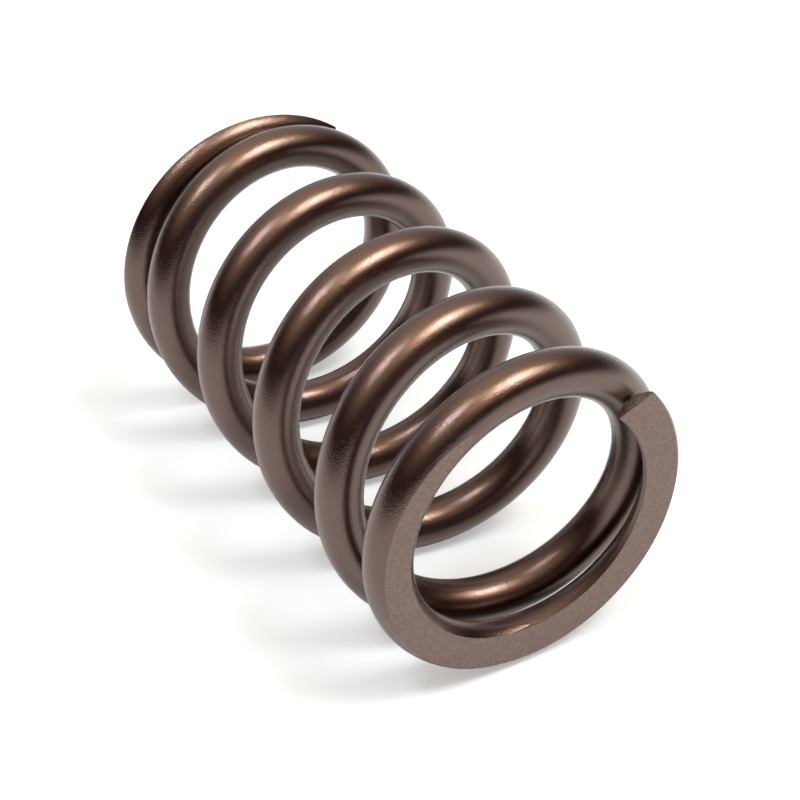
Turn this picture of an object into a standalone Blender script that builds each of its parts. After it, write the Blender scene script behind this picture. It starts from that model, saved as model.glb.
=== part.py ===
"""Engine valve spring: one length of round steel wire, coiled with closed ends that are ground flat.

Metres, +Z up. The spring stands on its bottom end. The origin is on its axis, in the plane of the
bottom ground face, and the wire's bottom tip points to +X. Seen from above, the wire winds
anticlockwise as it climbs, which makes a right-hand spring. Places along the wire are given in
turns, counted from the bottom tip.
"""

import bmesh
import bpy
from math import cos, pi, radians, sin, tan
from mathutils import Vector

# Wire
WIRE_DIAMETER = 0.0041
TURNS = 5.98  # from tip to tip

# Coil, measured to the middle of the wire at its bottom end. It is a little narrower at the top.
COIL_DIAMETER = 0.0261
TOP_NARROWING = 0.0005

# Height between the two ground faces with no load on the spring
FREE_LENGTH = 0.0516

# End coils: how much of the wire keeps the closed pitch, and how far the pitch then takes to open.
# The top one is pressed flatter, so its pitch opens early enough for the tip to clear the next coil.
END_COIL_GAP = 0.0001
BOTTOM_CLOSED_TURNS = 0.91
BOTTOM_OPENING_TURNS = 0.30
TOP_CLOSED_TURNS = 0.70
TOP_OPENING_TURNS = 0.67
TOP_PITCH_CUT = 0.00045

# Tips: what grinding leaves of the wire there, and how far the cropped end leans from square.
# The inner corner of each tip stands forward.
TIP_THICKNESS = 0.00105
TIP_LEAN = radians(20)

# Ground faces: their full width, with a 45-degree chamfer turned round both edges
GROUND_WIDTH = 0.0030

# Facets
WIRE_SIDES = 20
SECTIONS_PER_TURN = 42
GRINDING_FACETS = 84

# Finish: dark bronze-brown oxide on spring steel, linear colour
FINISH_COLOUR = (0.110, 0.062, 0.052, 1.0)
FINISH_METALLIC = 0.85
FINISH_ROUGHNESS = 0.38
SHARP_EDGE_ANGLE = radians(40)

# Sizes that follow from those above
WIRE_RADIUS = WIRE_DIAMETER / 2
BOTTOM_PITCH = WIRE_DIAMETER + END_COIL_GAP
TIP_HEIGHT = TIP_THICKNESS - WIRE_RADIUS
BOTTOM_END_TURNS = BOTTOM_CLOSED_TURNS + BOTTOM_OPENING_TURNS / 2
TOP_END_TURNS = TOP_CLOSED_TURNS + TOP_OPENING_TURNS / 2
TOP_OPENING_START = TURNS - TOP_CLOSED_TURNS - TOP_OPENING_TURNS
CLIMB = FREE_LENGTH - 2 * TIP_HEIGHT
OPENING_CLIMB = CLIMB - BOTTOM_PITCH * TURNS + TOP_PITCH_CUT * TOP_END_TURNS
EXTRA_PITCH = OPENING_CLIMB / (TURNS - BOTTOM_END_TURNS - TOP_END_TURNS)


def turns_opened(distance, ramp):
    """Turns' worth of extra pitch gained this far past the start of a ramp where the pitch opens."""
    within = min(max(distance, 0.0), ramp)
    return within * within / (2 * ramp) + max(distance - ramp, 0.0)


def wire_centre(turn):
    """The middle of the wire, this many turns from its bottom tip."""
    opened = turns_opened(turn - BOTTOM_CLOSED_TURNS, BOTTOM_OPENING_TURNS)
    closed_again = turns_opened(turn - TOP_OPENING_START, TOP_OPENING_TURNS)
    height = TIP_HEIGHT + BOTTOM_PITCH * turn + EXTRA_PITCH * opened
    height -= (EXTRA_PITCH + TOP_PITCH_CUT) * closed_again
    radius = (COIL_DIAMETER - TOP_NARROWING * turn / TURNS) / 2
    angle = 2 * pi * turn
    return Vector((radius * cos(angle), radius * sin(angle), height))


def wire_section(turn, lean=0.0):
    """The ring of points round the wire there. A lean moves its inner side back along the wire."""
    nearby = 1e-4
    centre = wire_centre(turn)
    along = (wire_centre(turn + nearby) - wire_centre(turn - nearby)).normalized()
    outward = Vector((centre.x, centre.y, 0.0))
    outward = (outward - along * outward.dot(along)).normalized()
    upward = outward.cross(along)
    points = []
    for side in range(WIRE_SIDES):
        angle = 2 * pi * side / WIRE_SIDES
        outwards = WIRE_RADIUS * cos(angle)
        upwards = WIRE_RADIUS * sin(angle)
        slide = outwards * tan(lean)
        points.append(centre + outward * outwards + upward * upwards + along * slide)
    return points


def coiled_wire(name):
    """The whole wire as it leaves the coiler, with cropped tips and before its ends are ground."""
    steps = round(TURNS * SECTIONS_PER_TURN)
    bm = bmesh.new()
    rings = []
    for step in range(steps + 1):
        lean = {0: TIP_LEAN, steps: -TIP_LEAN}.get(step, 0.0)
        section = wire_section(TURNS * step / steps, lean)
        rings.append([bm.verts.new(point) for point in section])
    for lower, upper in zip(rings, rings[1:]):
        for side in range(WIRE_SIDES):
            after = (side + 1) % WIRE_SIDES
            bm.faces.new((lower[side], lower[after], upper[after], upper[side]))
    bm.faces.new(rings[0])
    bm.faces.new(rings[-1])
    bmesh.ops.recalc_face_normals(bm, faces=bm.faces)
    mesh = bpy.data.meshes.new(name)
    bm.to_mesh(mesh)
    bm.free()
    mesh.shade_smooth()
    mesh.set_sharp_from_angle(angle=SHARP_EDGE_ANGLE)
    wire = bpy.data.objects.new(name, mesh)
    bpy.context.collection.objects.link(wire)
    return wire


def grind(wire, name, face_height, side, coil_diameter):
    """Grinds an end flat and chamfers its edges: side is 1 for the top end and -1 for the bottom.

    What is taken away is a ring. Its section follows the flat face and slopes back past both edges.
    """
    inner = (coil_diameter - GROUND_WIDTH) / 2
    outer = (coil_diameter + GROUND_WIDTH) / 2
    back = 2 * WIRE_DIAMETER
    profile = [
        (inner - WIRE_RADIUS, -WIRE_RADIUS),
        (inner, 0.0),
        (outer, 0.0),
        (outer + WIRE_RADIUS, -WIRE_RADIUS),
        (outer + WIRE_RADIUS, back),
        (inner - WIRE_RADIUS, back),
    ]
    bm = bmesh.new()
    rings = []
    for facet in range(GRINDING_FACETS):
        angle = 2 * pi * facet / GRINDING_FACETS
        ring = []
        for radius, height in profile:
            place = (radius * cos(angle), radius * sin(angle), face_height + side * height)
            ring.append(bm.verts.new(place))
        rings.append(ring)
    for facet, ring in enumerate(rings):
        following = rings[(facet + 1) % GRINDING_FACETS]
        for corner in range(len(profile)):
            after = (corner + 1) % len(profile)
            bm.faces.new((ring[corner], ring[after], following[after], following[corner]))
    bmesh.ops.recalc_face_normals(bm, faces=bm.faces)
    mesh = bpy.data.meshes.new(name)
    bm.to_mesh(mesh)
    bm.free()
    block = bpy.data.objects.new(name, mesh)
    block.hide_render = True
    block.display_type = "WIRE"
    bpy.context.collection.objects.link(block)
    cut = wire.modifiers.new(name, "BOOLEAN")
    cut.operation = "DIFFERENCE"
    cut.object = block


def oxide_finish():
    material = bpy.data.materials.new("bronze_brown_spring_steel")
    material.use_nodes = True
    shader = material.node_tree.nodes["Principled BSDF"]
    shader.inputs["Base Color"].default_value = FINISH_COLOUR
    shader.inputs["Metallic"].default_value = FINISH_METALLIC
    shader.inputs["Roughness"].default_value = FINISH_ROUGHNESS
    return material


for leftover in list(bpy.data.objects):
    bpy.data.objects.remove(leftover)

spring = coiled_wire("valve_spring")
spring.data.materials.append(oxide_finish())
grind(spring, "bottom_grinding_ring", 0.0, -1, COIL_DIAMETER)
grind(spring, "top_grinding_ring", FREE_LENGTH, 1, COIL_DIAMETER - TOP_NARROWING)
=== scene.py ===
"""An engine valve spring in a plain studio, lying on a white table as its camera sees it."""

from math import cos, pi, radians, sin

import bpy
from mathutils import Matrix, Vector


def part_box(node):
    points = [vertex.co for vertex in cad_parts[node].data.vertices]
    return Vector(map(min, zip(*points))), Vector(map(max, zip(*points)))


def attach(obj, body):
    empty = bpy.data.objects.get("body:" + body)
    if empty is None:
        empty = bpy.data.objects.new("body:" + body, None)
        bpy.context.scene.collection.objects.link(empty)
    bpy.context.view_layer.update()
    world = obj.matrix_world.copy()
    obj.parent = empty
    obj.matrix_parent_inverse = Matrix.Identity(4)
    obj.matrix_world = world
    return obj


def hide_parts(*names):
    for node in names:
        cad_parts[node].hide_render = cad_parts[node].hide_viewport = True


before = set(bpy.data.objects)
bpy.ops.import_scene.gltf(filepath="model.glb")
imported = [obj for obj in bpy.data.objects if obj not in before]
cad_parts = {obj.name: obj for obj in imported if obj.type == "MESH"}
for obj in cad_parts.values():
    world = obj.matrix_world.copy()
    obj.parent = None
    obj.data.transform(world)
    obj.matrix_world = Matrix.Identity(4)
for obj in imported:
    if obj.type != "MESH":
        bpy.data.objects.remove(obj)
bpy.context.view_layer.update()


# The spring wire
# One length of round chrome-silicon spring steel, drawn, oil-tempered and coiled cold on a pin.
# Its end coils lie closed against their neighbours, and each end is cropped by a shear.

MM = 0.001
SPRING_AXIS = Vector((0.0, 0.0, 1.0))

FREE_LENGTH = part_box("valve_spring")[1].z
WIRE_RADIUS = 2.05 * MM
TURNS = 5.98
COIL_RADIUS = 13.05 * MM
TOP_NARROWING = 0.25 * MM
CLOSED_PITCH = 4.2 * MM
TOP_CLOSED_PITCH = 3.75 * MM
BOTTOM_CLOSED_TURNS = 0.91
BOTTOM_OPENING_TURNS = 0.3
TOP_CLOSED_TURNS = 0.7
TOP_OPENING_TURNS = 0.67
TIP_THICKNESS = 1.05 * MM
TIP_LEAN = radians(20)

# The last coil sags towards its neighbour between its opening and its tip
TOP_DIP = 0.6 * MM
TOP_DIP_TURNS = 0.85

# How finely the wire is drawn, and the spare wire past each tip that the shear takes off
STATIONS_PER_TURN = 96
SECTION_ROUNDNESS = 14
SPARE_TURNS = 2 / STATIONS_PER_TURN
TIP_REACH = 1.03 * WIRE_RADIUS

# How near counts as the same place, and how nearly two faces point the same way
SAME_PLACE = 1e-7
SAME_FACING = 0.9999

# The peened wire has slot 0, and each kind of cut face has its own
SHEARED_SLOT, GROUND_SLOT, CHAMFER_SLOT = 1, 2, 3


def turns_opened(distance, ramp):
    """Turns' worth of open pitch gained this far past the start of a ramp."""
    within = min(max(distance, 0.0), ramp)
    return within * within / (2 * ramp) + max(distance - ramp, 0.0)


def wire_centre(turn):
    """The middle of the wire, this many turns from its bottom tip."""
    tip_height = TIP_THICKNESS - WIRE_RADIUS
    bottom_end = BOTTOM_CLOSED_TURNS + BOTTOM_OPENING_TURNS / 2
    top_end = TOP_CLOSED_TURNS + TOP_OPENING_TURNS / 2
    pitch_cut = CLOSED_PITCH - TOP_CLOSED_PITCH
    climb = FREE_LENGTH - 2 * tip_height - CLOSED_PITCH * TURNS + pitch_cut * top_end
    extra_pitch = climb / (TURNS - bottom_end - top_end)
    opened = turns_opened(turn - BOTTOM_CLOSED_TURNS, BOTTOM_OPENING_TURNS)
    closing_start = TURNS - TOP_CLOSED_TURNS - TOP_OPENING_TURNS
    closed_again = turns_opened(turn - closing_start, TOP_OPENING_TURNS)
    height = tip_height + CLOSED_PITCH * turn + extra_pitch * opened
    height -= (extra_pitch + pitch_cut) * closed_again
    into_dip = min(max((TURNS - turn) / TOP_DIP_TURNS, 0.0), 1.0)
    height -= TOP_DIP * sin(pi * into_dip) ** 2
    radius = COIL_RADIUS - TOP_NARROWING * turn / TURNS
    angle = 2 * pi * turn
    return Vector((radius * cos(angle), radius * sin(angle), height))


def select_only(obj):
    """Makes an object the one that operators and modifiers work on."""
    bpy.ops.object.select_all(action="DESELECT")
    obj.select_set(True)
    bpy.context.view_layer.objects.active = obj


def select_faces(obj, wanted):
    """Selects, in edit mode, the faces of a mesh that pass a test."""
    bpy.ops.object.mode_set(mode="EDIT")
    bpy.ops.mesh.select_mode(type="FACE")
    bpy.ops.mesh.select_all(action="DESELECT")
    bpy.ops.object.mode_set(mode="OBJECT")
    for face in obj.data.polygons:
        face.select = wanted(face)
    bpy.ops.object.mode_set(mode="EDIT")


stations = round((TURNS + 2 * SPARE_TURNS) * STATIONS_PER_TURN)
route = bpy.data.curves.new("spring_wire_route", "CURVE")
route.dimensions = "3D"
route.twist_mode = "Z_UP"
route.bevel_depth = WIRE_RADIUS
route.bevel_resolution = SECTION_ROUNDNESS
route.use_fill_caps = True
line = route.splines.new("POLY")
line.points.add(stations)
for station, point in enumerate(line.points):
    turn = -SPARE_TURNS + (TURNS + 2 * SPARE_TURNS) * station / stations
    point.co = (*wire_centre(turn), 1.0)
spring = bpy.data.objects.new("coiled_spring", route)
bpy.context.collection.objects.link(spring)
select_only(spring)
bpy.ops.object.convert(target="MESH")

peened_finish = bpy.data.materials.new("bronzed_peened_steel")
# The sheared faces take a finish painted near-black, as painted shade
sheared_painted_shade_finish = bpy.data.materials.new("bronzed_sheared_steel_painted_shade")
spring.data.materials.append(peened_finish)
spring.data.materials.append(sheared_painted_shade_finish)


def crop_tip(tip_turn, forward):
    """Shears the spare wire off beyond a tip, with the inner corner of the cut left forward."""
    tip = wire_centre(tip_turn)
    outward = Vector((tip.x, tip.y, 0.0)).normalized()
    onward = outward.cross(SPRING_AXIS) * -forward
    cut_normal = (onward * cos(TIP_LEAN) + outward * sin(TIP_LEAN)).normalized()
    # The stretch of wire from two spare lengths inside the tip to the spare wire's end
    spare_lengths = [quarter / 4 for quarter in range(-8, 5)]
    stretch = [wire_centre(tip_turn + forward * SPARE_TURNS * along) for along in spare_lengths]

    def at_tip(face):
        return min((face.center - point).length for point in stretch) < TIP_REACH

    select_faces(spring, at_tip)
    bpy.ops.mesh.bisect(
        plane_co=tip, plane_no=cut_normal, use_fill=True, clear_outer=True, threshold=SAME_PLACE
    )
    bpy.ops.object.mode_set(mode="OBJECT")
    for face in spring.data.polygons:
        on_cut = face.normal.dot(cut_normal) > SAME_FACING
        if on_cut and (face.center - tip).length < WIRE_RADIUS:
            face.material_index = SHEARED_SLOT


crop_tip(0.0, -1)
crop_tip(TURNS, 1)


# The ground ends
# Both end coils are ground square to the axis, which leaves a flat that narrows to nothing.
# The flats carry the seat and the retainer, and a chamfer is turned round both edges of each.

GROUND_WIDTH = 3.0 * MM
TOP_GROUND_INWARD = 0.22 * MM
RING_FACETS = 144
CREASE_ANGLE = radians(35)

ground_finish = bpy.data.materials.new("bronzed_ground_steel")
chamfer_finish = bpy.data.materials.new("bronzed_chamfer_steel")
spring.data.materials.append(ground_finish)
spring.data.materials.append(chamfer_finish)


def grind_end(face_height, side, coil_radius, inward):
    """Takes away a turned ring whose section follows the flat face and its two chamfers.

    The inner edge of the flat lies further in by the last value.
    """
    inner = coil_radius - GROUND_WIDTH / 2 - inward
    outer = coil_radius + GROUND_WIDTH / 2
    slope = WIRE_RADIUS
    back = 4 * WIRE_RADIUS
    section = (
        (inner - slope, -slope), (inner, 0.0), (outer, 0.0),
        (outer + slope, -slope), (outer + slope, back), (inner - slope, back),
    )
    corners = [(radius, 0.0, face_height + side * height) for radius, height in section]
    sides = [(i, (i + 1) % len(section)) for i in range(len(section))]
    mesh = bpy.data.meshes.new("grinding_ring")
    mesh.from_pydata(corners, sides, [])
    ring = bpy.data.objects.new("grinding_ring", mesh)
    bpy.context.collection.objects.link(ring)
    select_only(ring)
    turning = ring.modifiers.new("turning", "SCREW")
    turning.steps = turning.render_steps = RING_FACETS
    turning.use_merge_vertices = True
    turning.merge_threshold = SAME_PLACE
    bpy.ops.object.modifier_apply(modifier=turning.name)
    bpy.ops.object.mode_set(mode="EDIT")
    bpy.ops.mesh.select_all(action="SELECT")
    bpy.ops.mesh.normals_make_consistent(inside=False)
    bpy.ops.object.mode_set(mode="OBJECT")
    for finish in spring.data.materials:
        ring.data.materials.append(finish)
    for face in ring.data.polygons:
        on_flat = abs(face.center.z - face_height) < SAME_PLACE
        face.use_smooth = True
        face.material_index = GROUND_SLOT if on_flat else CHAMFER_SLOT
    select_only(spring)
    cut = spring.modifiers.new("grinding", "BOOLEAN")
    cut.operation = "DIFFERENCE"
    cut.object = ring
    bpy.ops.object.modifier_apply(modifier=cut.name)
    bpy.data.objects.remove(ring)


grind_end(0.0, -1, COIL_RADIUS, 0.0)
grind_end(FREE_LENGTH, 1, COIL_RADIUS - TOP_NARROWING, TOP_GROUND_INWARD)
bpy.ops.object.shade_smooth_by_angle(angle=CREASE_ANGLE)
for cut_slot in (SHEARED_SLOT, GROUND_SLOT, CHAMFER_SLOT):
    select_faces(spring, lambda face: face.material_index == cut_slot)
    bpy.ops.mesh.region_to_loop()
    bpy.ops.mesh.mark_sharp()
    bpy.ops.object.mode_set(mode="OBJECT")


# The finish
# Shot-peened steel with a dark bronze-brown finish, which covers the ground faces too, under a film
# of rust-preventing oil. The metal shines gold round each lamp, and the oil gives a white core.

OIL_ROUGHNESS = 0.19
OIL_IOR = 1.8
# Real dimples and grit are finer than this and too fine to show, so they are drawn coarser
DIMPLE_MM = 0.12
DIMPLE_DETAIL = 2.0
CLOUD_DETAIL = 6.0
CLOUD_EDGES = (0.35, 0.65)


def linear(hex_colour):
    """The linear RGBA of an sRGB hex colour."""
    channels = [int(hex_colour[i:i + 2], 16) / 255 for i in (1, 3, 5)]
    low = [c / 12.92 if c <= 0.04045 else ((c + 0.055) / 1.055) ** 2.4 for c in channels]
    return (*low, 1.0)


def add_node(tree, kind, inputs=None, **settings):
    """A new node with its settings, and with its inputs given as values or as sockets to link."""
    node = tree.nodes.new(kind)
    for name, value in settings.items():
        setattr(node, name, value)
    for name, value in (inputs or {}).items():
        if isinstance(value, bpy.types.NodeSocket):
            tree.links.new(value, node.inputs[name])
        else:
            node.inputs[name].default_value = value
    return node


def per_metre(size_mm):
    """The scale of a pattern whose features are this many millimetres apart."""
    return 1 / (size_mm * MM)


def bronzed_steel(material, colours, cloud_mm, roughness, oil, grain_mm):
    """Bronzed spring steel: a fine grain in the metal, a cloudy tint, and a film of oil on top."""
    material.use_nodes = True
    tree = material.node_tree
    shader = tree.nodes["Principled BSDF"]
    place = add_node(tree, "ShaderNodeTexCoord").outputs["Object"]
    cloud = add_node(
        tree, "ShaderNodeTexNoise",
        {"Vector": place, "Scale": per_metre(cloud_mm), "Detail": CLOUD_DETAIL},
    )
    tint = add_node(tree, "ShaderNodeValToRGB", {"Fac": cloud.outputs["Fac"]})
    for stop, edge, colour in zip(tint.color_ramp.elements, CLOUD_EDGES, colours):
        stop.position = edge
        stop.color = linear(colour)
    tree.links.new(tint.outputs["Color"], shader.inputs["Base Color"])
    shader.inputs["Metallic"].default_value = 1.0
    shader.inputs["Roughness"].default_value = roughness
    shader.inputs["Coat Weight"].default_value = oil
    shader.inputs["Coat Roughness"].default_value = OIL_ROUGHNESS
    shader.inputs["Coat IOR"].default_value = OIL_IOR
    dimples = add_node(
        tree, "ShaderNodeTexNoise",
        {"Vector": place, "Scale": per_metre(DIMPLE_MM), "Detail": DIMPLE_DETAIL},
    )
    relief = add_node(
        tree, "ShaderNodeBump",
        {"Height": dimples.outputs["Fac"], "Distance": grain_mm * MM, "Strength": 1.0},
    )
    tree.links.new(relief.outputs["Normal"], shader.inputs["Normal"])
    tree.links.new(relief.outputs["Normal"], shader.inputs["Coat Normal"])


# Shot-peened wire, thinly oiled: its dimples break each long highlight into a soft satin line
bronzed_steel(
    peened_finish, ("#66423c", "#5c4537"), cloud_mm=0.6, roughness=0.26, oil=0.92, grain_mm=0.024
)
# The torn face left by the shear: rough, under a full film of oil; its near-black colour is
# painted shade, that of a small face turned from the lamps and tucked against the next coil
bronzed_steel(
    sheared_painted_shade_finish, ("#1c1513", "#5c483c"), cloud_mm=0.4, roughness=0.4, oil=1.0, grain_mm=0.06
)
# Ground flats: an even fine grit that scatters the light, so they look paler and matt
bronzed_steel(
    ground_finish, ("#998477", "#887171"), cloud_mm=0.26, roughness=0.5, oil=0.2, grain_mm=0.035
)
# Turned chamfers: smoother than the flats, and oiled nearly as the wire is
bronzed_steel(
    chamfer_finish, ("#72554a", "#67584c"), cloud_mm=0.6, roughness=0.36, oil=0.6, grain_mm=0.02
)
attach(spring, "root")
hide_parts("valve_spring")


# The white table
# The spring lies on its side on matt white card. The camera sees the card a little whiter than it
# is lit. For the metal's reflections the card has a painted glow that fades out round the spring,
# a painted shadow there. From behind, the card is clear.

TABLE_AZIMUTH = radians(39.961)
TABLE_GAP = 0.02 * MM
CARD_SIZE = 4.0
CARD_WHITE = "#dde7f5"
WHITE = (1.0, 1.0, 1.0, 1.0)
SEEN_LIFT = 0.38
# Painted light: emission that only reflections see, none within the painted shadow round the spring
MIRRORED_LIFT = 0.08

# The middle of the painted shadow that the mirrored glow leaves round the spring, its edges, and
# how much longer than wide it is
SHADOW_HEIGHT = 35 * MM
SHADOW_ASIDE = 8 * MM
SHADOW_RADIUS = 15 * MM
SHADOW_FADE_RADIUS = 80 * MM
SHADOW_STRETCH = 2

table_up = Vector((cos(TABLE_AZIMUTH), sin(TABLE_AZIMUTH), 0.0))
table_side = table_up.cross(SPRING_AXIS)
shadow_middle = SPRING_AXIS * SHADOW_HEIGHT + table_side * SHADOW_ASIDE
shadow_middle -= table_up * (COIL_RADIUS + WIRE_RADIUS)

bpy.ops.mesh.primitive_plane_add(size=CARD_SIZE)
table = bpy.context.object
table.name = "table_card"
table.matrix_world = Matrix.Translation(-table_up * (COIL_RADIUS + WIRE_RADIUS + TABLE_GAP)) @ (
    table_up.to_track_quat("Z", "X").to_matrix().to_4x4()
)

# Matt uncoated white card, with no shine at all
card = bpy.data.materials.new("matt_white_card")
card.use_nodes = True
tree = card.node_tree
shader = tree.nodes["Principled BSDF"]
shader.inputs["Base Color"].default_value = linear(CARD_WHITE)
shader.inputs["Roughness"].default_value = 1.0
shader.inputs["Specular IOR Level"].default_value = 0.0
shader.inputs["Emission Color"].default_value = WHITE
ray = add_node(tree, "ShaderNodeLightPath")
surface = add_node(tree, "ShaderNodeNewGeometry")
mirrored = add_node(
    tree, "ShaderNodeMath",
    {0: ray.outputs["Is Glossy Ray"], 1: ray.outputs["Is Transmission Ray"]},
    operation="MAXIMUM",
)
# Painted glow for reflections, none near the spring and full far from it: a painted shadow there
from_shadow = add_node(
    tree, "ShaderNodeVectorMath",
    {0: surface.outputs["Position"], 1: tuple(shadow_middle)},
    operation="SUBTRACT",
)
evened_out = add_node(
    tree, "ShaderNodeVectorMath",
    {0: from_shadow.outputs["Vector"], 1: (1.0, 1.0, 1 / SHADOW_STRETCH)},
    operation="MULTIPLY",
)
distance = add_node(
    tree, "ShaderNodeVectorMath", {0: evened_out.outputs["Vector"]}, operation="LENGTH"
)
clear_of_shadow = add_node(
    tree, "ShaderNodeMapRange",
    {
        "Value": distance.outputs["Value"],
        "From Min": SHADOW_RADIUS,
        "From Max": SHADOW_FADE_RADIUS,
        "To Max": MIRRORED_LIFT,
    },
)
mirrored_lift = add_node(
    tree, "ShaderNodeMath",
    {0: mirrored.outputs[0], 1: clear_of_shadow.outputs["Result"]},
    operation="MULTIPLY",
)
lift = add_node(
    tree, "ShaderNodeMath",
    {0: ray.outputs["Is Camera Ray"], 1: SEEN_LIFT, 2: mirrored_lift.outputs[0]},
    operation="MULTIPLY_ADD",
)
tree.links.new(lift.outputs[0], shader.inputs["Emission Strength"])
seen_from_behind = add_node(
    tree, "ShaderNodeMath",
    {0: ray.outputs["Is Camera Ray"], 1: surface.outputs["Backfacing"]},
    operation="MULTIPLY",
)
clear = add_node(tree, "ShaderNodeBsdfTransparent")
card_or_clear = add_node(
    tree, "ShaderNodeMixShader",
    {0: seen_from_behind.outputs[0], 1: shader.outputs[0], 2: clear.outputs[0]},
)
tree.links.new(card_or_clear.outputs[0], tree.nodes["Material Output"].inputs["Surface"])
table.data.materials.append(card)


# The room
# Two ceiling lamps, the right one before a wide yellow shade, and a small window light the spring.
# The ceiling is warm, the walls are dark, the floor is white, and it glows beyond the bottom end.

LAMP_DISTANCE = 1.2
SHADE_DISTANCE = 1.25
TO_RIGHT_LAMP = (0.892, 0.300, 0.337)
TO_LEFT_LAMP = (0.445, 0.893, 0.072)
TO_WINDOW = (-0.015, 0.183, 0.983)
TO_GLOW = (0.22, -0.26, -0.94)
GLOW_EDGE = 0.35
GLOW_STRENGTH = 0.5

# The room's light from straight below the table to straight above it, as linear red, green and
# blue: the white floor, the foot and the top of the dark wall, and the warm ceiling
ROOM_LIGHT = (
    (0.49, (0.9, 0.9, 0.9, 1.0)),
    (0.50, (0.04, 0.02, 0.026, 1.0)),
    (0.70, (0.04, 0.02, 0.026, 1.0)),
    (0.80, (0.32, 0.24, 0.18, 1.0)),
    (0.89, (0.72, 0.61, 0.42, 1.0)),
    (0.96, (0.98, 0.86, 0.6, 1.0)),
    (1.0, (1.1, 1.0, 0.72, 1.0)),
)


def add_lamp(name, direction, distance, diameter, radiance, colour):
    """A round lamp that faces the spring, as bright as a surface of this radiance."""
    aim = Vector((0.0, 0.0, FREE_LENGTH / 2))
    direction = Vector(direction).normalized()
    bpy.ops.object.light_add(type="AREA", location=aim + direction * distance)
    lamp = bpy.context.object
    lamp.name = name
    lamp.rotation_euler = direction.to_track_quat("Z", "Y").to_euler()
    lamp.data.shape = "DISK"
    lamp.data.size = diameter
    lamp.data.energy = radiance * pi * pi * (diameter / 2) ** 2
    lamp.data.color = linear(colour)[:3]


add_lamp("right_ceiling_lamp", TO_RIGHT_LAMP, LAMP_DISTANCE, diameter=0.43, radiance=14.5, colour="#fbf9f6")
add_lamp("right_lamp_shade", TO_RIGHT_LAMP, SHADE_DISTANCE, diameter=0.9, radiance=1.3, colour="#ffe08c")
add_lamp("left_ceiling_lamp", TO_LEFT_LAMP, LAMP_DISTANCE, diameter=0.25, radiance=19.0, colour="#f2f1ff")
add_lamp("window", TO_WINDOW, LAMP_DISTANCE, diameter=0.16, radiance=1.2, colour="#d8d4ff")

world = bpy.data.worlds.new("dark_room")
world.use_nodes = True
bpy.context.scene.world = world
tree = world.node_tree
direction = add_node(tree, "ShaderNodeTexCoord").outputs["Generated"]
rise = add_node(tree, "ShaderNodeVectorMath", {0: direction, 1: table_up}, operation="DOT_PRODUCT")
share = add_node(
    tree, "ShaderNodeMapRange", {"Value": rise.outputs["Value"], "From Min": -1.0, "From Max": 1.0}
)
room = add_node(tree, "ShaderNodeValToRGB", {"Fac": share.outputs["Result"]})
stops = room.color_ramp.elements
stops[0].position, stops[0].color = ROOM_LIGHT[0]
stops[1].position, stops[1].color = ROOM_LIGHT[-1]
for position, light in ROOM_LIGHT[1:-1]:
    stops.new(position).color = light
towards_glow = add_node(
    tree, "ShaderNodeVectorMath", {0: direction, 1: TO_GLOW}, operation="DOT_PRODUCT"
)
soft_glow = add_node(
    tree, "ShaderNodeMapRange",
    {
        "Value": towards_glow.outputs["Value"],
        "From Min": GLOW_EDGE,
        "From Max": 1.0,
        "To Max": GLOW_STRENGTH,
    },
)
room_and_glow = add_node(
    tree, "ShaderNodeVectorMath",
    {0: room.outputs["Color"], 1: soft_glow.outputs["Result"]},
    operation="ADD",
)
ray = add_node(tree, "ShaderNodeLightPath")
seen = add_node(
    tree, "ShaderNodeMixRGB",
    {
        "Fac": ray.outputs["Is Camera Ray"],
        "Color1": room_and_glow.outputs["Vector"],
        "Color2": WHITE,
    },
)
tree.links.new(seen.outputs["Color"], tree.nodes["Background"].inputs["Color"])
tree.nodes["Background"].inputs["Strength"].default_value = 1.0


# The camera
# It looks down at the top end, with the table's up direction up in the picture.

CAMERA_PLACE = Vector((28.08, 104.20, 140.09)) * MM
CAMERA_AIM = Vector((1.20, -0.31, 31.32)) * MM
FOCAL_LENGTH = 76.84
SENSOR_WIDTH = 36.0
SHIFT = (-0.02678, -0.0106)
NEAREST_SEEN = 5 * MM

back = (CAMERA_PLACE - CAMERA_AIM).normalized()
right = table_up.cross(back).normalized()
up = back.cross(right)
bpy.ops.object.camera_add(location=CAMERA_PLACE)
camera = bpy.context.object
camera.matrix_world = Matrix.Translation(CAMERA_PLACE) @ (
    Matrix((right, up, back)).transposed().to_4x4()
)
camera.data.sensor_width = SENSOR_WIDTH
camera.data.lens = FOCAL_LENGTH
camera.data.shift_x, camera.data.shift_y = SHIFT
camera.data.clip_start = NEAREST_SEEN
bpy.context.scene.camera = camera
bpy.context.scene.view_settings.view_transform = "Standard"
